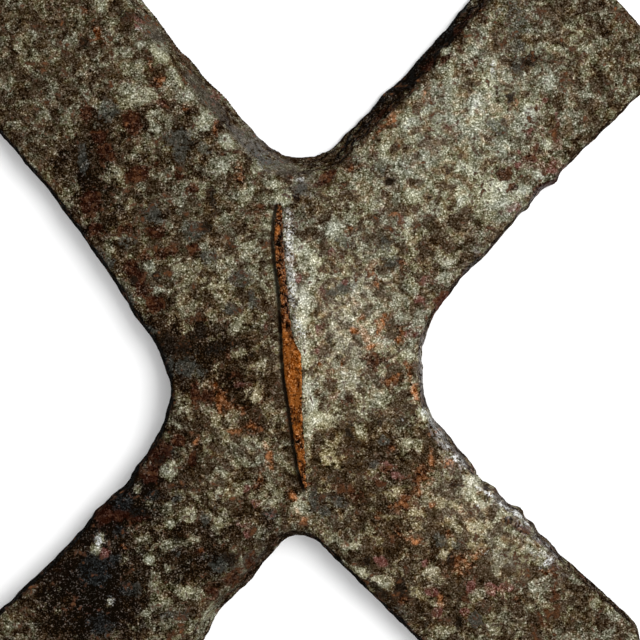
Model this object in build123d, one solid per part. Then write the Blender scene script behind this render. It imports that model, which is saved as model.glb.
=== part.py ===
from build123d import *

import os
from collections import namedtuple
from math import ceil, cos, exp, hypot, pi, radians, sin

# Currency cross: a hand-cast copper ingot in the shape of a stocky, slightly lopsided X.
# It was poured in one go, so it is one piece of metal. The underside is the flat side. The sides slope in
# towards the top face, as wide banks along the upper fork and steeply elsewhere. The face is gently crowned
# along every arm, thinner towards the tips and a little uneven.
# A short leaning ridge stands on the waist between the two forks, steep on its left, gentle on its right.
# In millimetres. The ingot lies face up, +Z is up through its thickness, +Y runs from the waist towards the
# two wider arms, and the origin is on the underside at the middle of the waist.

# Each arm leaves the Y axis at its root and follows its heading, in degrees from +X.
# Widths are measured across the foot of the sloping sides, at the root, at the neck and at the tip.
# A bank is how far a side slopes in over the waist's thickness, on the arm's left or right looking outwards.
upper_right_heading = 46.5
upper_right_root_y = 6.7
upper_right_reach = 106.0
upper_right_root_width = 44.5
upper_right_neck_width = 43.6
upper_right_tip_width = 47.0
upper_right_left_bank = 6.0
upper_right_right_bank = 1.6

upper_left_heading = 129.0
upper_left_root_y = 0.0
upper_left_reach = 108.0
upper_left_root_width = 56.0
upper_left_neck_width = 46.0
upper_left_tip_width = 48.5
upper_left_left_bank = 2.0
upper_left_right_bank = 6.2

lower_left_heading = 228.0
lower_left_root_y = -14.7
lower_left_reach = 98.0
lower_left_root_width = 40.0
lower_left_neck_width = 37.6
lower_left_tip_width = 43.0
lower_left_left_bank = 3.6
lower_left_right_bank = 1.8

lower_right_heading = 314.5
lower_right_root_y = -13.8
lower_right_reach = 101.0
lower_right_root_width = 41.0
lower_right_neck_width = 38.6
lower_right_tip_width = 43.5
lower_right_left_bank = 2.4
lower_right_right_bank = 2.0

# How far out the necks are, and how softly the sides turn there
neck_station = 62.0
neck_round = 120.0

# The four crotches between the arms, and the rounding and bank of the arm ends, at the foot of the sides
top_crotch_round = 11.5
left_crotch_round = 24.0
bottom_crotch_round = 6.0
right_crotch_round = 26.0
tip_bulge = 2.5
tip_round = 60.0
tip_corner_round = 10.0
tip_bank = 2.6

# Thickness at the waist, and how much lower the face lies at the tips and along the shoulders of the arms
waist_thickness = 9.6
tip_fall = 2.0
shoulder_fall = 1.2
crown_spread = 15.0

# The unevenness of the poured face: its height and the length of its swells
swell_height = 0.3
long_swell = 52.0
short_swell = 35.0

# The rounded upper rim and the softened lower edge
face_rim_round = 1.5
base_rim_chamfer = 0.8

# The ridge: its crest in plan through a head, a middle and a foot, its height and how far its flanks spread
ridge_head_x = -3.4
ridge_head_y = 33.0
ridge_middle_x = 0.5
ridge_foot_x = 2.4
ridge_foot_y = -36.0
ridge_height = 3.0
steep_flank_spread = 4.4
gentle_flank_spread = 8.5
crest_round = 0.7
gentle_flank_round = 7.0

# How deep the ridge is set into the face, and the size left at its two ends, as a share of its middle
ridge_sink = 0.4
ridge_end_share = 0.12

# Under 1, the ridge keeps its size nearly to its ends
ridge_fullness = 0.7

# Where the gentle flank bends, as shares of its spread and of its height
bend_spread_share = 0.4
bend_height_share = 0.3

# How finely the uneven face and the ridge are drawn, and how far their blocks reach past the metal
face_step = 9.0
ridge_stations = 9
spare = 2.0

Arm = namedtuple("Arm", "heading root_y reach root_width neck_width tip_width left_bank right_bank")

# The arms in the order in which the outline passes them, anticlockwise, each with the crotch after it
arms = [
    Arm(upper_right_heading, upper_right_root_y, upper_right_reach,
        upper_right_root_width, upper_right_neck_width, upper_right_tip_width,
        upper_right_left_bank, upper_right_right_bank),
    Arm(upper_left_heading, upper_left_root_y, upper_left_reach,
        upper_left_root_width, upper_left_neck_width, upper_left_tip_width,
        upper_left_left_bank, upper_left_right_bank),
    Arm(lower_left_heading, lower_left_root_y, lower_left_reach,
        lower_left_root_width, lower_left_neck_width, lower_left_tip_width,
        lower_left_left_bank, lower_left_right_bank),
    Arm(lower_right_heading, lower_right_root_y, lower_right_reach,
        lower_right_root_width, lower_right_neck_width, lower_right_tip_width,
        lower_right_left_bank, lower_right_right_bank),
]
crotch_rounds = [top_crotch_round, left_crotch_round, bottom_crotch_round, right_crotch_round]


def on_arm(arm, along, aside):
    """A point of the plan, from its distance along an arm and its offset to the arm's left."""
    angle = radians(arm.heading)
    x = along * cos(angle) - aside * sin(angle)
    y = arm.root_y + along * sin(angle) + aside * cos(angle)
    return x, y


def crotch_point(arm, next_arm, climb):
    """Where an arm's left side, carried on inwards, meets the next arm's right side, at a share of the climb."""
    ax, ay = on_arm(arm, 0, arm.root_width / 2 - arm.left_bank * climb)
    bx, by = on_arm(arm, neck_station, arm.neck_width / 2 - arm.left_bank * climb)
    cx, cy = on_arm(next_arm, 0, next_arm.right_bank * climb - next_arm.root_width / 2)
    dx, dy = on_arm(next_arm, neck_station, next_arm.right_bank * climb - next_arm.neck_width / 2)
    turn = (bx - ax) * (dy - cy) - (by - ay) * (dx - cx)
    share = ((cx - ax) * (dy - cy) - (cy - ay) * (dx - cx)) / turn
    return ax + share * (bx - ax), ay + share * (by - ay)


def outline(height):
    """The sloping sides cut level at a height: one closed line of straights and tangent arcs."""
    climb = height / waist_thickness
    points = []
    rounds = []
    for place, arm in enumerate(arms):
        next_arm = arms[(place + 1) % len(arms)]
        left = arm.left_bank * climb
        right = arm.right_bank * climb
        tip = arm.reach - tip_bank * climb
        points += [
            on_arm(arm, neck_station, right - arm.neck_width / 2),
            on_arm(arm, tip, right - arm.tip_width / 2),
            on_arm(arm, tip + tip_bulge, (right - left) / 2),
            on_arm(arm, tip, arm.tip_width / 2 - left),
            on_arm(arm, neck_station, arm.neck_width / 2 - left),
            crotch_point(arm, next_arm, climb),
        ]
        corner_round = tip_corner_round - tip_bank * climb
        crotch_round = crotch_rounds[place] + (arm.left_bank + next_arm.right_bank) / 2 * climb
        rounds += [neck_round, corner_round, tip_round, corner_round, neck_round, crotch_round]
    level = [Vector(x, y, height) for x, y in points]
    return make_face(FilletPolyline(*level, radius=rounds, close=True).edges())


def off_centre_line(arm, x, y):
    """How far a point of the plan lies from an arm's centre line, which starts at the arm's root."""
    angle = radians(arm.heading)
    along = x * cos(angle) + (y - arm.root_y) * sin(angle)
    aside = -x * sin(angle) + (y - arm.root_y) * cos(angle)
    return hypot(aside, min(along, 0))


def face_height(x, y):
    """Height of the top face: crowned along each arm, lower towards the tips, and gently uneven."""
    longest = max(arm.reach for arm in arms)
    fall = tip_fall * (x * x + y * y) / longest**2
    off_crown = 1
    for arm in arms:
        off_crown *= 1 - exp(-((off_centre_line(arm, x, y) / crown_spread) ** 2))
    swell = sin(2 * pi * (x + y / 3) / long_swell) * cos(2 * pi * (y - x / 4) / short_swell)
    return waist_thickness - fall - shoulder_fall * off_crown + swell_height * swell


def under_the_face():
    """Everything under the uneven, crowned top face, out past the tips of the arms."""
    half = max(arm.reach + arm.tip_width / 2 for arm in arms) + spare
    count = ceil(half / face_step)
    stations = [n * face_step for n in range(-count, count + 1)]
    heights = [[Vector(x, y, face_height(x, y)) for x in stations] for y in stations]
    skin = Face.make_surface_from_array_of_points(heights, tol=0.01)
    return extrude(skin, amount=waist_thickness + spare, dir=(0, 0, -1))


def cross_blank():
    """The sloping sides from the foot to just over the top face, as ruled surfaces between two outlines."""
    return loft([outline(0), outline(waist_thickness + spare)], ruled=True)


def crest_x(share):
    """The crest's place from side to side: a curve through its head, its middle and its foot."""
    toward_middle = 4 * share * (1 - share)
    straight = ridge_head_x + (ridge_foot_x - ridge_head_x) * share
    straight_middle = (ridge_head_x + ridge_foot_x) / 2
    return straight + (ridge_middle_x - straight_middle) * toward_middle


def ridge_section(share):
    """The ridge cut across at a share of its length from head to foot, with its root inside the metal."""
    y = ridge_head_y + (ridge_foot_y - ridge_head_y) * share
    x = crest_x(share)
    size = ridge_end_share + (1 - ridge_end_share) * sin(pi * share) ** ridge_fullness
    left = x - steep_flank_spread * size
    right = x + gentle_flank_spread * size
    rise = ridge_height * size - ridge_sink
    bend = x + (right - x) * bend_spread_share
    root = waist_thickness / 2
    profile = FilletPolyline(
        (left, y, root),
        (left, y, face_height(left, y) - ridge_sink),
        (x, y, face_height(x, y) + rise),
        (bend, y, face_height(bend, y) + rise * bend_height_share),
        (right, y, face_height(right, y) - ridge_sink),
        (right, y, root),
        radius=[0, 0, crest_round * size, gentle_flank_round * size, 0, 0],
        close=True,
    )
    return make_face(profile.edges())


def ridge():
    """The leaning ridge, lofted through its sections from head to foot."""
    return loft([ridge_section(n / (ridge_stations - 1)) for n in range(ridge_stations)])


def cross_casting():
    """The whole ingot: the crowned cross with both rims softened, and the ridge standing on its face."""
    body = cross_blank() & under_the_face()
    face_rim = body.faces().sort_by(Axis.Z)[-1].outer_wire().edges()
    body = fillet(face_rim, face_rim_round)
    base_rim = body.faces().sort_by(Axis.Z)[0].outer_wire().edges()
    body = chamfer(base_rim, base_rim_chamfer)
    return body + ridge()


os.makedirs("parts", exist_ok=True)
export_step(cross_casting(), "parts/cross_casting.step")
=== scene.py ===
from collections import namedtuple
from math import cos, radians, sin
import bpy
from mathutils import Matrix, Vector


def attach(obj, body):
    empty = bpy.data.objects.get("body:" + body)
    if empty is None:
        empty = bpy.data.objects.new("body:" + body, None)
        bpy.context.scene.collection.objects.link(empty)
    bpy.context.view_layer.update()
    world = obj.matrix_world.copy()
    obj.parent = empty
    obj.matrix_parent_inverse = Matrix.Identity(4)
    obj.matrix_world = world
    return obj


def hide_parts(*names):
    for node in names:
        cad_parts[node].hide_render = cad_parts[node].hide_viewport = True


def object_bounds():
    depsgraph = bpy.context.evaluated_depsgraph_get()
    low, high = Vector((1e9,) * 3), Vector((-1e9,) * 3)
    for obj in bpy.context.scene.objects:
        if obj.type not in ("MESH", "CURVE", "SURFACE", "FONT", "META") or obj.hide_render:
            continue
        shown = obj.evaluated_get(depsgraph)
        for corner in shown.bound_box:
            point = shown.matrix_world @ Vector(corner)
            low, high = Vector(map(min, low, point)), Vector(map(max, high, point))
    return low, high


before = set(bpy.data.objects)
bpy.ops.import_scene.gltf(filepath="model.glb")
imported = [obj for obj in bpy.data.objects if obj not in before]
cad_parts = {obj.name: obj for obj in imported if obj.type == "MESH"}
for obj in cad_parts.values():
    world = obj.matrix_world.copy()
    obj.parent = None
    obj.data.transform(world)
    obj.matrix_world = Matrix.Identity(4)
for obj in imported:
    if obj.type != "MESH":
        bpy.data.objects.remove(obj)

from types import SimpleNamespace

import bpy
import numpy as np
from mathutils import Vector

bl_info = {
    "name": "Currency cross",
    "version": (1, 0, 0),
    "blender": (4, 5, 0),
    "location": "3D View > Sidebar > Cross",
    "description": "A hand-cast copper currency cross with its crusted patina, lying on a pale floor",
    "category": "Object",
}

CAD_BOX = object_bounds()
MM = 0.001

# The share of the underside's mesh that is taken out
UNDERSIDE_THINNED = 0.88

# How bright a white face lying under the lights looks, against the white of the picture
LIGHT_ON_FACE = 1.48

# The white of the floor
FLOOR_WHITE = (0.94, 0.94, 0.94)

# The softboxes: where each stands, as its heading from the right and its height, both in degrees, its distance
# and its size in metres, and which setting of the stage is its power
Softbox = namedtuple("Softbox", "name heading height distance size power")
SOFTBOXES = [
    Softbox("key_softbox", 17, 48, 0.9, 0.65, "key_power"),
    Softbox("upper_fill", 105, 42, 1.0, 0.7, "fill_power"),
    Softbox("lower_fill", 285, 42, 1.0, 0.7, "fill_power"),
]

# How the picture is read: the size of one of its pixels on the floor, and the pixel of the cross's origin
PICTURE_SIDE = 640
PIXEL = 0.24 * MM
ORIGIN_ACROSS = 297
ORIGIN_DOWN = 345

# The lens and the sensor width, in millimetres, and how high above the floor the picture was taken with them
LENS = 85.0
SENSOR = 36.0
CAMERA_HEIGHT = PICTURE_SIDE * PIXEL * LENS / SENSOR

# The ridge in the picture, head to foot: how far down, then its dark left foot and its crest, across,
# and how bright the bare copper of its steep flank is
RidgeStation = namedtuple("RidgeStation", "down foot crest glow")
RIDGE = [
    RidgeStation(208, 278.0, 283.0, 0.25),
    RidgeStation(222, 274.8, 284.0, 0.45),
    RidgeStation(245, 273.8, 284.8, 0.35),
    RidgeStation(267, 276.0, 286.3, 0.5),
    RidgeStation(288, 279.0, 289.0, 0.5),
    RidgeStation(310, 280.5, 291.0, 0.4),
    RidgeStation(332, 281.8, 293.0, 0.6),
    RidgeStation(343, 282.3, 297.0, 0.85),
    RidgeStation(353, 282.5, 302.0, 0.95),
    RidgeStation(375, 284.0, 303.0, 0.95),
    RidgeStation(397, 287.5, 302.5, 0.85),
    RidgeStation(418, 291.0, 303.5, 0.75),
    RidgeStation(440, 294.0, 305.3, 0.6),
    RidgeStation(462, 297.3, 306.0, 0.7),
    RidgeStation(474, 300.5, 306.8, 0.5),
    RidgeStation(486, 304.5, 307.8, 0.3),
]

# Where the edge of the cross leaves its smooth line: how far around the place, in pixels, and how far
# outwards, in millimetres
Nudge = namedtuple("Nudge", "across down around outward")
NUDGES = [
    Nudge(482, 475, 6, -1.8), Nudge(494, 489, 5, 0.5), Nudge(466, 458, 8, 0.5), Nudge(517, 511, 9, 1.5),
    Nudge(530, 524, 8, 1.2), Nudge(546, 543, 12, 0.6), Nudge(447, 434, 16, 0.9), Nudge(485, 252, 30, 0.8),
    Nudge(442, 298, 22, 1.1), Nudge(429, 335, 14, 0.5), Nudge(551, 181, 9, 1.0), Nudge(525, 208, 6, 0.4),
    Nudge(510, 223, 8, 0.3), Nudge(420, 366, 30, 0.9), Nudge(129, 484, 11, -1.9), Nudge(98, 512, 9, 0.4),
    Nudge(168, 392, 17, -1.1), Nudge(152, 440, 10, 0.4), Nudge(200, 645, 26, 3.0), Nudge(249, 578, 20, 0.6),
    Nudge(372, 571, 8, 0.4), Nudge(354, 553, 7, -0.3), Nudge(420, 620, 9, 0.4), Nudge(404, 603, 7, -0.4),
    Nudge(136, 312, 10, 0.4), Nudge(113, 283, 8, -0.3), Nudge(222, 97, 26, 1.2), Nudge(250, 128, 12, 0.5),
    Nudge(194, 64, 14, 0.5), Nudge(274, 147, 12, 0.6), Nudge(304, 160, 24, 0.7), Nudge(346, 135, 16, 0.4),
    Nudge(388, 96, 9, 0.4), Nudge(440, 46, 9, -0.3),
]

# A stain: where its middle is in the picture, its half length and half width in pixels, how strong it is,
# and how it leans, in degrees from the right, anticlockwise
Stain = namedtuple("Stain", "across down long wide strength lean", defaults=(1, 0))

# Shallow broad tones: how light each stretch of the cross is
LIGHT_GROUNDS = [
    Stain(450, 130, 120, 75, 0.62, 48), Stain(400, 200, 80, 60, 0.35, 40), Stain(352, 330, 60, 95, 0.88, 8),
    Stain(240, 262, 62, 66, 0.22), Stain(235, 455, 36, 40, 0.22), Stain(480, 520, 80, 40, 0.7, -42),
    Stain(365, 455, 70, 50, 0.22, -30), Stain(135, 75, 70, 60, 0.12), Stain(500, 212, 48, 20, 0.25, 46),
]
DARK_GROUNDS = [
    Stain(116, 508, 62, 32, 1.1, 45), Stain(92, 590, 46, 60, 1.15), Stain(165, 545, 55, 50, 0.42),
    Stain(215, 348, 48, 20, 0.6), Stain(240, 385, 36, 26, 0.4, -20), Stain(160, 380, 34, 55, 0.45),
    Stain(95, 180, 28, 70, 0.55), Stain(130, 110, 60, 60, 0.18), Stain(200, 560, 80, 24, 0.45, 40),
    # (414, 70) and (368, 122) darken the upper-left bank of the upper right arm, which faces away from the
    # light: painted shade
    Stain(380, 460, 50, 40, 0.25), Stain(130, 330, 26, 90, 0.22, -55), Stain(414, 70, 80, 11, 1.1, 46),
    Stain(368, 122, 34, 10, 0.5, 46),
]

# Stretches with a warmer brown skin
WARM_GROUNDS = [
    Stain(240, 390, 70, 60, 0.9), Stain(215, 290, 60, 50, 0.5), Stain(345, 330, 60, 100, 0.6),
    Stain(430, 540, 110, 80, 0.9, -42), Stain(345, 470, 60, 60, 0.9), Stain(110, 190, 40, 60, 0.4),
    Stain(150, 110, 60, 60, 0.3), Stain(440, 250, 50, 40, 0.5, 30), Stain(225, 500, 50, 70, 0.4),
]

# Pale khaki crust
PALE_STAINS = [
    Stain(209, 613, 22, 5, 1.1, 60), Stain(251, 563, 22, 3, 0.4, 40), Stain(101, 7, 8, 7, 0.7),
    Stain(111, 30, 6, 11, 0.4), Stain(142, 44, 6, 4, 0.6), Stain(160, 52, 11, 7, 1.6, -55),
    Stain(176, 76, 14, 3, 1, -65), Stain(140, 95, 20, 10, 1, -10), Stain(155, 120, 9, 16, 0.8),
    Stain(188, 97, 8, 7, 1.2), Stain(206, 120, 8, 10, 1.3), Stain(227, 142, 9, 7, 1.5, -30),
    Stain(115, 175, 10, 9, 0.9), Stain(124, 205, 17, 10, 0.6), Stain(202, 190, 6, 8, 0.5),
    Stain(222, 167, 8, 8, 0.8), Stain(256, 170, 6, 5, 0.7), Stain(250, 192, 15, 8, 0.5),
    Stain(273, 184, 11, 6, 0.6), Stain(285, 200, 9, 9, 0.8), Stain(266, 228, 6, 9, 0.9),
    Stain(248, 246, 10, 8, 0.4), Stain(252, 262, 8, 6, 0.4), Stain(255, 276, 4, 6, 0.4),
    Stain(152, 268, 4, 8, 0.9), Stain(158, 290, 8, 4, 0.8), Stain(180, 264, 14, 9, 0.5, 15),
    Stain(176, 278, 10, 7, 0.4), Stain(178, 300, 7, 7, 0.4), Stain(222, 262, 12, 11, 0.4),
    Stain(215, 290, 11, 11, 0.7), Stain(240, 325, 11, 11, 0.6), Stain(141, 308, 6, 8, 0.4),
    Stain(184, 333, 4, 3, 0.7), Stain(240, 353, 9, 7), Stain(258, 366, 11, 11, 0.5),
    Stain(255, 397, 5, 5, 2.1), Stain(250, 390, 11, 7, 0.5), Stain(182, 411, 9, 12, 0.5),
    Stain(205, 405, 6, 4, 0.9), Stain(178, 424, 7, 6, 0.6), Stain(165, 436, 6, 5, 0.6),
    Stain(275, 408, 9, 7, 0.4), Stain(168, 471, 8, 9, 1.4), Stain(145, 470, 4, 6), Stain(137, 490, 5, 5, 0.8),
    Stain(240, 460, 13, 17, 0.4), Stain(222, 476, 12, 8, 0.4), Stain(225, 491, 19, 9, 0.5),
    Stain(275, 500, 8, 10, 0.5), Stain(218, 526, 7, 12, 0.9), Stain(233, 550, 5, 5, 0.7),
    Stain(241, 560, 3, 11, 0.6), Stain(268, 536, 6, 5, 0.7), Stain(190, 515, 5, 8, 1.2),
    Stain(170, 525, 6, 5, 1.2), Stain(168, 505, 7, 6, 0.6), Stain(150, 536, 8, 6, 0.4),
    Stain(190, 540, 13, 9, 0.6), Stain(165, 546, 10, 7, 0.7), Stain(170, 569, 15, 7, 0.4, 20),
    Stain(150, 561, 7, 6, 1.6), Stain(185, 591, 8, 6, 0.9), Stain(161, 601, 12, 6, 0.6, 25),
    Stain(200, 606, 11, 4, 0.4), Stain(145, 616, 8, 8, 0.6), Stain(160, 626, 13, 7, 0.4),
    Stain(100, 537, 4, 7, 1.4), Stain(96, 550, 5, 5, 1.9), Stain(110, 601, 4, 4, 1.4), Stain(213, 614, 8, 7),
    Stain(152, 586, 7, 4, 0.6), Stain(478, 100, 7, 10, 0.4), Stain(472, 112, 4, 14, 0.8),
    Stain(488, 82, 9, 11, 0.9), Stain(495, 62, 3, 9, 0.6), Stain(444, 51, 6, 4, 2.1),
    Stain(470, 49, 7, 5, 0.7), Stain(464, 170, 12, 11, 0.7, -30), Stain(494, 189, 16, 10, 1.7, 10),
    Stain(497, 202, 18, 6, 1.2), Stain(463, 195, 7, 10, 1.4), Stain(438, 118, 5, 20, 0.4, -10),
    Stain(450, 75, 6, 15, 0.8), Stain(476, 132, 5, 17, 0.4), Stain(405, 124, 9, 8, 0.8),
    Stain(386, 150, 8, 10, 0.5), Stain(404, 168, 12, 11, 0.4), Stain(410, 195, 10, 8, 0.9),
    Stain(522, 190, 9, 6, 2.1), Stain(540, 175, 6, 6, 1.4), Stain(531, 110, 8, 6, 1.7),
    Stain(550, 80, 8, 12, 0.7), Stain(548, 145, 7, 5, 1.2), Stain(408, 228, 4, 14),
    Stain(505, 147, 6, 7, 0.9), Stain(333, 229, 9, 7, 1.1), Stain(305, 250, 11, 10),
    Stain(316, 262, 7, 6, 1.5), Stain(312, 278, 6, 9), Stain(304, 300, 6, 12, 1.6),
    Stain(303, 320, 5, 10, 2.1), Stain(355, 288, 5, 6, 1.2), Stain(343, 374, 5, 8, 0.7),
    Stain(352, 385, 8, 6, 0.4), Stain(307, 388, 5, 12, 1.4), Stain(312, 404, 6, 9, 1.6),
    Stain(318, 419, 11, 7, 2), Stain(308, 433, 7, 7, 0.8), Stain(333, 414, 7, 6, 0.5),
    Stain(362, 413, 8, 5, 0.4), Stain(410, 354, 8, 5, 0.8), Stain(399, 318, 7, 6, 0.6),
    Stain(425, 414, 7, 7, 1.9, -50), Stain(444, 276, 8, 4, 1.2, 30), Stain(446, 262, 6, 4, 1.7),
    Stain(387, 340, 5, 5, 0.4), Stain(381, 404, 6, 5, 0.9), Stain(305, 354, 4, 11, 1.7),
    Stain(360, 432, 7, 7, 0.5), Stain(407, 443, 6, 5), Stain(301, 505, 7, 11, 1.1),
    Stain(310, 460, 3, 13, 0.6), Stain(330, 460, 12, 9, 1.1), Stain(330, 540, 9, 6, 0.4),
    Stain(350, 546, 9, 7, 0.9), Stain(415, 512, 8, 4, 1.2), Stain(363, 572, 8, 5, 1.1),
    Stain(379, 583, 11, 7, 1.2, -20), Stain(431, 571, 12, 6, 0.9, 20), Stain(413, 593, 7, 7, 0.7),
    Stain(445, 555, 6, 4, 1.4), Stain(470, 526, 12, 8, 0.7), Stain(471, 494, 10, 8, 0.9, -20),
    Stain(480, 503, 8, 4, 1, -30), Stain(475, 480, 8, 6, 1.6), Stain(500, 550, 15, 9, 0.4),
    Stain(531, 546, 10, 5, 0.4), Stain(530, 610, 8, 6, 0.4), Stain(440, 631, 9, 6, 0.4),
    Stain(395, 493, 6, 5, 0.9),
]

# Slate-grey places
SLATE_STAINS = [
    # The first five stains darken the upper-left bank of the upper right arm, which faces away from the light:
    # painted shade
    Stain(462, 8, 8, 5, 1.3, 45), Stain(440, 32, 13, 6, 1.3, 47), Stain(415, 61, 15, 6, 0.6, 46),
    Stain(392, 85, 15, 6, 0.6, 45), Stain(374, 103, 8, 5, 0.7, 45), Stain(262, 158, 22, 8, 0.7, -30),
    Stain(108, 111, 13, 12), Stain(180, 138, 20, 13, 0.9, -10), Stain(182, 152, 12, 12, 0.9),
    Stain(204, 149, 9, 11, 0.8), Stain(155, 216, 10, 10, 1.1), Stain(192, 232, 14, 10), Stain(302, 190, 7, 6),
    Stain(83, 160, 6, 18, 0.9), Stain(303, 212, 12, 11, 0.5), Stain(97, 256, 8, 7), Stain(110, 263, 6, 8),
    Stain(126, 241, 12, 8, 0.7), Stain(130, 300, 4, 10), Stain(207, 257, 9, 8), Stain(240, 279, 11, 8, 1.2),
    Stain(252, 300, 5, 9, 1.1), Stain(230, 310, 7, 5), Stain(150, 331, 7, 7), Stain(166, 366, 9, 12, 1.2),
    Stain(186, 366, 14, 10, 1.2), Stain(200, 373, 8, 7), Stain(170, 450, 6, 6), Stain(125, 481, 5, 6, 0.5),
    Stain(124, 504, 10, 9, 1.3), Stain(152, 495, 8, 6, 1.1), Stain(118, 531, 8, 6, 0.9),
    Stain(115, 560, 8, 6, 1.1), Stain(96, 570, 16, 16, 1.5), Stain(102, 624, 15, 11, 1.1),
    Stain(130, 590, 13, 9), Stain(220, 565, 12, 9, 1.2), Stain(205, 556, 7, 6, 0.6),
    Stain(270, 515, 8, 5, 0.9), Stain(215, 501, 5, 8, 0.6), Stain(205, 520, 5, 9),
    Stain(175, 615, 17, 4, 0.9), Stain(178, 498, 7, 5), Stain(178, 552, 5, 5, 0.8), Stain(518, 45, 8, 7, 1.1),
    Stain(521, 26, 12, 11, 0.7), Stain(508, 9, 19, 9, 0.7), Stain(510, 98, 6, 5, 0.6),
    Stain(496, 128, 11, 9, 0.7), Stain(515, 66, 8, 9, 0.9), Stain(381, 171, 8, 8, 0.7),
    Stain(342, 243, 11, 7, 0.8), Stain(386, 243, 8, 8, 0.8), Stain(342, 290, 6, 16, 1.2, -75),
    Stain(391, 264, 11, 8, 0.9), Stain(313, 499, 5, 11), Stain(325, 512, 6, 6, 1.2),
    Stain(338, 501, 12, 8, 0.9), Stain(375, 465, 5, 5), Stain(440, 540, 8, 8, 1.1),
    Stain(396, 610, 14, 7, 0.4, -35), Stain(385, 440, 6, 6, 1.1), Stain(424, 625, 8, 5, 0.4),
    Stain(330, 478, 6, 4, 0.5), Stain(340, 345, 9, 6, 0.5), Stain(456, 546, 5, 6), Stain(476, 620, 9, 8, 0.9),
]

# Near-black places
BLACK_STAINS = [
    # (409, 83), (446, 43) and (412, 80) blacken the upper-left bank of the upper right arm, away from the
    # light: painted shade
    Stain(409, 83, 26, 7, 0.6, 46), Stain(212, 200, 5, 15, 0.9), Stain(208, 227, 6, 6, 1.2),
    Stain(193, 147, 6, 7, 0.9), Stain(123, 11, 9, 9, 0.5), Stain(84, 44, 5, 6, 0.9),
    Stain(446, 43, 11, 5, 0.5, 40), Stain(390, 182, 4, 4, 1.5), Stain(428, 197, 5, 4, 0.9),
    Stain(445, 172, 10, 3, 0.7), Stain(156, 276, 6, 5, 0.8), Stain(134, 281, 4, 5, 1.5),
    Stain(200, 330, 5, 10, 1.5), Stain(191, 336, 7, 4, 0.9), Stain(168, 344, 11, 9, 1.4, -45),
    Stain(184, 350, 16, 9, 0.6), Stain(210, 351, 18, 6, 0.7), Stain(225, 345, 16, 5, 0.6),
    Stain(155, 440, 9, 5, 1.8, 45), Stain(161, 458, 8, 8, 0.7), Stain(140, 513, 12, 6, 0.9),
    Stain(182, 487, 11, 3, 0.5), Stain(230, 560, 9, 6, 1.1), Stain(350, 431, 5, 9, 0.8),
    Stain(355, 442, 8, 6, 0.5), Stain(380, 421, 7, 7, 0.7), Stain(401, 588, 6, 8, 1.6), Stain(366, 561, 5, 5),
    Stain(450, 560, 4, 8, 1.3), Stain(460, 621, 5, 7, 1.1), Stain(400, 545, 5, 4, 0.7),
    Stain(355, 466, 10, 6, 0.6), Stain(508, 520, 5, 3, 1.5), Stain(459, 594, 3, 12, 0.5),
    Stain(455, 485, 5, 3, 0.7), Stain(365, 505, 8, 5, 0.4), Stain(252, 355, 3, 3, 1.2),
    Stain(226, 248, 5, 4, 0.7), Stain(412, 80, 11, 4, 0.7, 45), Stain(405, 405, 9, 3, 0.4),
    Stain(380, 591, 14, 4, 1.2, -40), Stain(530, 61, 6, 5, 1.9), Stain(510, 98, 5, 5, 0.9),
]

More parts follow.
